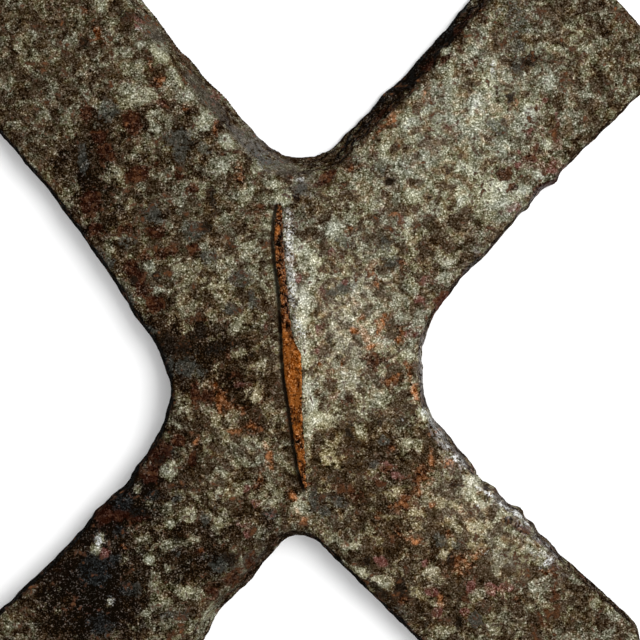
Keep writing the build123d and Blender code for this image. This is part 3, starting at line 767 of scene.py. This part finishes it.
def crust_colour(finish, colours, at):
    """The colour of the crusted skin: a tone between dark and light, with hues that wander."""
    relief = (at.crust * 0.2 - at.hollow * 0.13 + at.cloud * 0.34 + at.bank * 0.16) * at.calm
    relief = relief + at.pale_mask * (at.pale * 0.14 + 0.08)
    tone = relief * (1.3 - at.ground) + at.ground * 1.36 - 0.125
    ramp = finish.node("ValToRGB", {}, {"Fac": tone})
    stops = ramp.color_ramp.elements
    stops.remove(stops[0])
    stops[0].position = TONES[0].place
    stops[0].color = opaque(getattr(colours, TONES[0].shade))
    for stop in TONES[1:]:
        stops.new(stop.place).color = opaque(getattr(colours, stop.shade))
    yellowness = (at.stain_hue + at.hue * 0.5).between(-0.2, 0.2)
    redness = at.hue * 0.9 - at.cloud * 0.4 + at.hollow * 0.18 - at.crust * 0.2 - at.pale_mask * 0.1
    warmth = (at.warm + at.cloud * 0.8).between(0, 1)
    colour = ramp.outputs["Color"]
    for share, first, second in (
            (yellowness, BLUISH, YELLOWISH), (redness.between(-0.22, 0.2), GREENISH, REDDISH),
            (warmth, PLAIN, BROWNISH)):
        colour = finish.mix(1.0, colour, finish.mix(share, first, second), "MULTIPLY")
    return colour


def with_oxides(colour, finish, colours, at):
    """A colour with the brown skin, the smooth banks with their painted sheen, and the oxides and the painted
    shade of the sides laid over it, the blackest last.
    """
    brown_skin = finish.brighten(colours.skin, (at.ground - MIDDLE_GROUND) * 0.5 + at.cloud * 0.3)
    smooth = (at.smooth + at.breakup * 0.5).between(0.35, 0.75)
    rust = (at.rust + at.breakup * 1.3).between(0.1, 0.8) * at.bare
    rust_core = (at.rust + at.mottle * 2 + at.speckle).between(0.4, 1.05)
    maroon = (at.maroon + at.breakup * 1.5).between(0.2, 0.65) * at.bare
    embers = (at.mottle * 2.2 + at.cloud + at.speckle - at.dark * 0.3).between(-0.1, 0.5) * 0.4
    for share, shade in (
            (at.skin * 0.8, brown_skin),
            # The smooth banks' light grey: thin oxide and partly a painted sheen
            (smooth * 0.35, colours.bank),
            (at.slate_mask * 0.65, finish.mix(at.dark, colours.slate, colours.deep_slate)),
            (rust * 0.85, finish.mix(rust_core, colours.oxblood, colours.rust)),
            (maroon * 0.9, colours.maroon),
            (at.oxblood_mask * 0.9, finish.mix(embers, colours.oxblood, colours.rust)),
            (at.black_mask * 0.92, finish.mix(at.dark * 0.8, colours.soot, colours.pitch))):
        colour = finish.mix(share, colour, shade)
    return colour


def with_bare_metal(colour, finish, colours, at):
    """A colour with the bare copper, the ridge's flank, the groove's painted shade, and painted glints and
    white specks laid over it.
    """
    copper_core = (at.copper * 0.7 + at.mottle * 3 + at.speckle * 2).between(0.1, 1.1)
    glow = at.flank_glow + at.mottle * 2 + at.speckle * 1.2 - 0.1
    dull_copper = finish.mix(glow.between(0, 0.45), colours.soot, colours.rust)
    flank = (at.flank + at.speckle * 0.8 + at.mottle * 0.5).between(0.3, 0.6)
    # Painted glints along the crest and the rims, and white specks, broken up by the grain
    frost = (at.frost * 0.85 + 0.34 - at.threads * 7 + at.speckle * 1.4).between(0.1, 0.65) * at.frost
    for share, shade in (
            (at.copper_mask * 0.9, finish.mix(copper_core, colours.rust, colours.copper)),
            (flank, finish.mix(glow.between(0.3, 0.95), dull_copper, colours.bright_copper)),
            # The groove painted black: painted shade
            (at.groove.between(0.1, 0.9) * 0.9, colours.black),
            (frost * 0.9, colours.frost)):
        colour = finish.mix(share, colour, shade)
    return colour


def with_grain(colour, finish, at):
    """A colour with fine grain in it, lively on the crust and weaker in the oxides."""
    fleck = (at.grain + at.speckle * 0.7).between(0.12, 0.32)
    fine = at.grain * 0.6 + at.speckle * 0.5 + at.mottle * 0.4 + fleck * 0.14 - 0.006 - at.threads * 0.4
    dulled = at.skin * 0.2 + at.slate_mask * 0.2 + at.black_mask * 0.3 + at.oxblood_mask * 0.25
    lively = 0.68 + at.crust * 0.2 - dulled
    return finish.brighten(colour, fine * lively * at.calm * (1 - at.groove))


def patina(colours):
    """The patinated copper: crust, oxides, bare metal, painted shade and painted glints over one another,
    broken up by grain.
    """
    finish = Finish("patinated_copper")
    place = finish.node("TexCoord", {}, {}).outputs["Object"]
    at = SimpleNamespace(
        **{name: finish.noise(place, noise) for name, noise in NOISES.items()},
        **{name: finish.painted(name) for name in PAINTED})
    at.threads = abs(at.threads)
    lay_crust(at)
    colour = crust_colour(finish, colours, at)
    colour = with_oxides(colour, finish, colours, at)
    colour = with_bare_metal(colour, finish, colours, at)
    colour = with_grain(colour, finish, at)
    roughness = 0.4 + at.speckle * 0.4 - at.smooth * 0.08 + at.crust * 0.1
    glint = at.gloss * (at.mottle * 2 + at.speckle * 2 + 0.6).between(0.2, 0.7)
    height = at.grain * 0.3 + at.speckle * 0.6 + at.mottle * 0.8 + at.crust * 0.12 - at.hollow * 0.1
    bump = finish.node("Bump", {}, {"Strength": 0.8, "Distance": GRAIN_HEIGHT, "Height": height})
    finish.show(finish.node("BsdfPrincipled", {}, {
        "Base Color": colour, "Roughness": roughness, "Metallic": at.copper_mask * 0.3,
        "Specular IOR Level": 0.0, "Coat Weight": glint, "Coat Roughness": 0.12, "Coat IOR": 1.8,
        "Normal": bump.outputs["Normal"]}))
    return finish.material


class OBJECT_OT_cast_cross(bpy.types.Operator):
    """Casts the cross: the solid's outline and ridge, made uneven, crusted and patinated"""

    bl_idname = "object.cast_cross"
    bl_label = "Cast the cross"

    def execute(self, context):
        form = context.scene.cross_form
        cross = self.merged_copy("cross_casting", "cast_cross")
        finish_modifier(cross, "REMESH", mode="VOXEL", voxel_size=form.grain_of_mesh)
        self.coarsen_underside(cross, form)
        self.refine_ridge(cross)
        self.sharpen_ridge(cross)
        self.nudge_edges(cross)
        self.press_in(cross, form)
        self.roughen(cross, form)
        self.settle(cross)
        self.paint(cross)
        select_only(cross)
        bpy.ops.object.shade_smooth()
        cross.data.materials.clear()
        cross.data.materials.append(patina(context.scene.cross_patina))
        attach(cross, "root")
        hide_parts("cross_casting")
        return {"FINISHED"}

    @staticmethod
    def merged_copy(node, name):
        """A copy of a solid as a new piece, its loose triangles merged into one skin."""
        piece = bpy.data.objects.new(name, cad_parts[node].data.copy())
        bpy.context.scene.collection.objects.link(piece)
        select_only(piece)
        bpy.ops.object.mode_set(mode="EDIT")
        bpy.ops.mesh.select_all(action="SELECT")
        bpy.ops.mesh.remove_doubles(threshold=0.001 * MM)
        bpy.ops.mesh.normals_make_consistent(inside=False)
        bpy.ops.object.mode_set(mode="OBJECT")
        return piece

    @staticmethod
    def coarsen_underside(piece, form):
        """Thins out the mesh of the flat underside, which needs less of it than the face."""
        low = piece.vertex_groups.new(name="underside")
        under = np.flatnonzero(places(piece)[:, 2] < form.grain_of_mesh)
        low.add(under.tolist(), 1.0, "REPLACE")
        kept = 1 - UNDERSIDE_THINNED * len(under) / len(piece.data.vertices)
        finish_modifier(piece, "DECIMATE", ratio=kept, vertex_group="underside")

    @staticmethod
    def nudge_edges(piece):
        """Pushes the sides in and out where the edge of the cross leaves its smooth line."""
        spots = places(piece)
        level = outward(piece)
        level[:, 2] = 0
        side = smooth_step(np.linalg.norm(level, axis=1), 0.1, 0.6)
        for nudge in NUDGES:
            x, y = from_picture(nudge.across, nudge.down)
            away = np.hypot(spots[:, 0] - x, spots[:, 1] - y) / (nudge.around * PIXEL)
            spots += level * (side * nudge.outward * MM * np.exp(-away**2))[:, None]
        put_places(piece, spots)

    @staticmethod
    def press_in(piece, form):
        """Lets the pale crust stand up a little, and presses in the dark pits."""
        spots = places(piece)
        on_face = smooth_step(outward(piece)[:, 2], 0.3, 0.8)
        crust = stain_strength(PALE_STAINS, spots)
        pits = np.maximum(stain_strength(BLACK_STAINS, spots), 0.6 * stain_strength(OXBLOOD_STAINS, spots))
        spots[:, 2] += on_face * (form.crust_height * crust - form.stain_depth * pits)
        put_places(piece, spots)

    @staticmethod
    def refine_ridge(piece):
        """Halves the faces of the ridge, so that its crest and the groove at its foot come out sharp."""
        spots = places(piece)
        foot, crest, inside = ridge_lines(spots)
        near = (spots[:, 0] > foot - 2.5 * MM) & (spots[:, 0] < crest + 3.5 * MM)
        near &= (inside > -3 * MM) & (spots[:, 2] > 6 * MM)
        select_only(piece)
        bpy.ops.object.mode_set(mode="EDIT")
        bpy.ops.mesh.select_mode(type="VERT")
        bpy.ops.mesh.select_all(action="DESELECT")
        bpy.ops.object.mode_set(mode="OBJECT")
        piece.data.vertices.foreach_set("select", near)
        bpy.ops.object.mode_set(mode="EDIT")
        bpy.ops.mesh.select_mode(type="FACE")
        bpy.ops.mesh.subdivide(number_cuts=1, smoothness=0)
        bpy.ops.mesh.select_all(action="DESELECT")
        bpy.ops.object.mode_set(mode="OBJECT")

    @staticmethod
    def sharpen_ridge(piece):
        """Raises the crest and presses in the groove along the foot of the ridge's steep flank."""
        spots = places(piece)
        foot, crest, inside = ridge_lines(spots)
        length_fade = smooth_step(inside, -1 * MM, 4 * MM)
        on_top = smooth_step(spots[:, 2], SIDES_END, FACE_BEGINS) * length_fade
        from_crest = (spots[:, 0] - crest) / CREST_WIDTH
        from_foot = (spots[:, 0] - foot) / GROOVE_WIDTH
        spots[:, 2] += on_top * CREST_RISE * np.exp(-from_crest**2)
        spots[:, 2] -= on_top * GROOVE_DEPTH * np.exp(-from_foot**2)
        put_places(piece, spots)

    @staticmethod
    def roughen(piece, form):
        """Makes the skin uneven: broad swells, lumps of crust and small pits."""
        spots = places(piece)
        smooth = stain_strength(SMOOTH_STAINS, spots)
        rims = stain_strength(GLOSS_STAINS, spots)
        on_side = 1 - smooth_step(outward(piece)[:, 2], 0.2, 0.8)
        for name, calm in (("uneven", 0.0), ("crusted", 0.75)):
            group = piece.vertex_groups.new(name=name)
            weights = (1 - calm * smooth) * (1 - 0.6 * on_side * (1 - rims))
            for index, weight in enumerate(weights):
                group.add([index], float(weight), "REPLACE")
        waves = [
            ("swells", "CLOUDS", form.swell_length, form.swell_height, "uneven"),
            ("dimples", "CLOUDS", form.dimple_length, form.dimple_height, "crusted"),
            ("lumps", "CLOUDS", form.lump_length, form.lump_height, "crusted"),
            ("pits", "STUCCI", form.pit_length, form.pit_depth, "crusted"),
        ]
        for name, kind, length, height, group in waves:
            texture = bpy.data.textures.new(name, kind)
            texture.noise_scale = length
            finish_modifier(
                piece, "DISPLACE", texture=texture, texture_coords="LOCAL", direction="NORMAL",
                strength=height, mid_level=0.5, vertex_group=group)

    @staticmethod
    def settle(piece):
        """Keeps the skin inside the box of the solid, and flat where it rests on the floor."""
        spots = places(piece)
        low = np.array(CAD_BOX[0])
        high = np.array(CAD_BOX[1])
        put_places(piece, np.clip(spots, low, high))

    @staticmethod
    def paint(piece):
        """Paints where each tone and oxide lies, and where the painted shade and painted glints lie."""
        spots = places(piece)
        facing = outward(piece)
        side = smooth_step(0.75 - facing[:, 2], 0.0, 0.5)
        foot, crest, inside = ridge_lines(spots)
        in_length = smooth_step(inside, -1.5 * MM, 0.5 * MM)
        on_ridge = in_length * smooth_step(spots[:, 2], SIDES_END, FACE_BEGINS)
        flank = smooth_step(spots[:, 0] - foot, 0.1 * MM, 0.6 * MM)
        flank = flank * smooth_step(crest - spots[:, 0], -0.1 * MM, 0.4 * MM) * on_ridge
        # Painted shade: the groove along the foot of the ridge's steep flank, painted black
        groove = np.exp(-(((spots[:, 0] - foot + 0.1 * MM) / GROOVE_WIDTH) ** 2)) * on_ridge
        light = stain_strength(LIGHT_GROUNDS, spots, SOFT_EDGE)
        dim = stain_strength(DARK_GROUNDS, spots, SOFT_EDGE)
        left_facing = np.clip(-facing[:, 0], 0, 1)
        right_facing = np.clip(facing[:, 0], 0, 1) * (1 - stain_strength(SMOOTH_STAINS, spots))
        layers = {
            # Painted shade: all sides a little darker, and the left-facing sides, away from the light, much
            # darker, in slate and black
            "ground": 0.34 + 0.26 * light - 0.24 * dim - 0.12 * side - 0.2 * left_facing * side,
            "pale": stain_strength(PALE_STAINS, spots) * (1 - 0.4 * side) * (1 - flank),
            "warm": stain_strength(WARM_GROUNDS, spots, SOFT_EDGE),
            "slate": stain_strength(SLATE_STAINS, spots) + 0.9 * side * left_facing,
            "black": stain_strength(BLACK_STAINS, spots) + 0.45 * side * left_facing,
            "oxblood": stain_strength(OXBLOOD_STAINS, spots),
            "rust": stain_strength(RUST_STAINS, spots, SOFTEST_EDGE),
            "copper": stain_strength(COPPER_STAINS, spots, SOFT_EDGE),
            "maroon": stain_strength(MAROON_STAINS, spots) + 0.15 * side * right_facing,
            "smooth": stain_strength(SMOOTH_STAINS, spots),
            # Painted glints and white specks, fading away down the sides
            "frost": stain_strength(GLINT_AND_SPECK_STAINS, spots) * smooth_step(spots[:, 2], GLINT_AND_SPECK_END, GLINT_AND_SPECK_BEGIN),
            "gloss": stain_strength(GLOSS_STAINS, spots),
            "flank": flank,
            "flank_glow": along_ridge(spots, [station.glow for station in RIDGE]),
            "groove": groove,
        }
        for name, strength in layers.items():
            layer = piece.data.attributes.new(name, "FLOAT", "POINT")
            layer.data.foreach_set("value", strength.astype(np.float32))


class OBJECT_OT_set_stage(bpy.types.Operator):
    """Sets the pale floor, the soft lights and the camera straight above"""

    bl_idname = "object.set_cross_stage"
    bl_label = "Set the stage"

    def execute(self, context):
        stage = context.scene.cross_stage
        self.lay_floor(stage)
        self.hang_lights(context, stage)
        self.place_camera(context, stage)
        context.scene.view_settings.view_transform = "Standard"
        return {"FINISHED"}

    @staticmethod
    def lay_floor(stage):
        """The plain pale floor."""
        bpy.ops.object.select_all(action="DESELECT")
        bpy.ops.mesh.primitive_plane_add(size=stage.floor_size, location=(0, 0, 0))
        floor = bpy.context.object
        floor.name = "floor"
        finish = Finish("pale_floor")
        finish.show(finish.node("BsdfPrincipled", {}, {
            "Base Color": opaque(FLOOR_WHITE), "Roughness": 0.9, "Specular IOR Level": 0.1}))
        floor.data.materials.append(finish.material)

    @staticmethod
    def hang_lights(context, stage):
        """A key softbox low on the right, and wide soft fills."""
        for box in SOFTBOXES:
            around = radians(box.heading)
            up = radians(box.height)
            spot = Vector((cos(around) * cos(up), sin(around) * cos(up), sin(up))) * box.distance
            light = bpy.data.lights.new(box.name, "AREA")
            light.energy = getattr(stage, box.power)
            light.size = box.size
            softbox = bpy.data.objects.new(box.name, light)
            softbox.location = spot
            softbox.rotation_euler = spot.to_track_quat("Z", "Y").to_euler()
            context.scene.collection.objects.link(softbox)
        world = bpy.data.worlds.new("studio")
        world.use_nodes = True
        world.node_tree.nodes["Background"].inputs["Color"].default_value = (1, 1, 1, 1)
        world.node_tree.nodes["Background"].inputs["Strength"].default_value = stage.sky
        context.scene.world = world

    @staticmethod
    def place_camera(context, stage):
        """The camera looks straight down on the waist, as near as the picture was taken."""
        camera = bpy.data.cameras.new("camera")
        camera.lens = stage.lens
        camera.sensor_width = SENSOR
        x, y = from_picture(PICTURE_SIDE / 2, PICTURE_SIDE / 2)
        viewer = bpy.data.objects.new("camera", camera)
        viewer.location = (x, y, CAMERA_HEIGHT)
        context.scene.collection.objects.link(viewer)
        context.scene.camera = viewer


class VIEW3D_PT_cross(bpy.types.Panel):
    """Lists the steps that make the cross"""

    bl_label = "Currency cross"
    bl_space_type = "VIEW_3D"
    bl_region_type = "UI"
    bl_category = "Cross"

    def draw(self, context):
        layout = self.layout
        for step in STEPS:
            layout.operator(step.bl_idname)
        for group in (context.scene.cross_form, context.scene.cross_patina, context.scene.cross_stage):
            for name in group.bl_rna.properties.keys()[2:]:
                layout.prop(group, name)


STEPS = (OBJECT_OT_cast_cross, OBJECT_OT_set_stage)
CLASSES = (CrossForm, CrossPatina, CrossStage, *STEPS, VIEW3D_PT_cross)


def register():
    """Makes the settings, the steps and their panel known to Blender."""
    for kind in CLASSES:
        bpy.utils.register_class(kind)
    bpy.types.Scene.cross_form = bpy.props.PointerProperty(type=CrossForm)
    bpy.types.Scene.cross_patina = bpy.props.PointerProperty(type=CrossPatina)
    bpy.types.Scene.cross_stage = bpy.props.PointerProperty(type=CrossStage)


def unregister():
    """Takes them away again."""
    del bpy.types.Scene.cross_stage
    del bpy.types.Scene.cross_patina
    del bpy.types.Scene.cross_form
    for kind in reversed(CLASSES):
        bpy.utils.unregister_class(kind)


def main():
    """Makes the cross and its stage."""
    register()
    bpy.ops.object.cast_cross()
    bpy.ops.object.set_cross_stage()


if __name__ == "__main__":
    main()
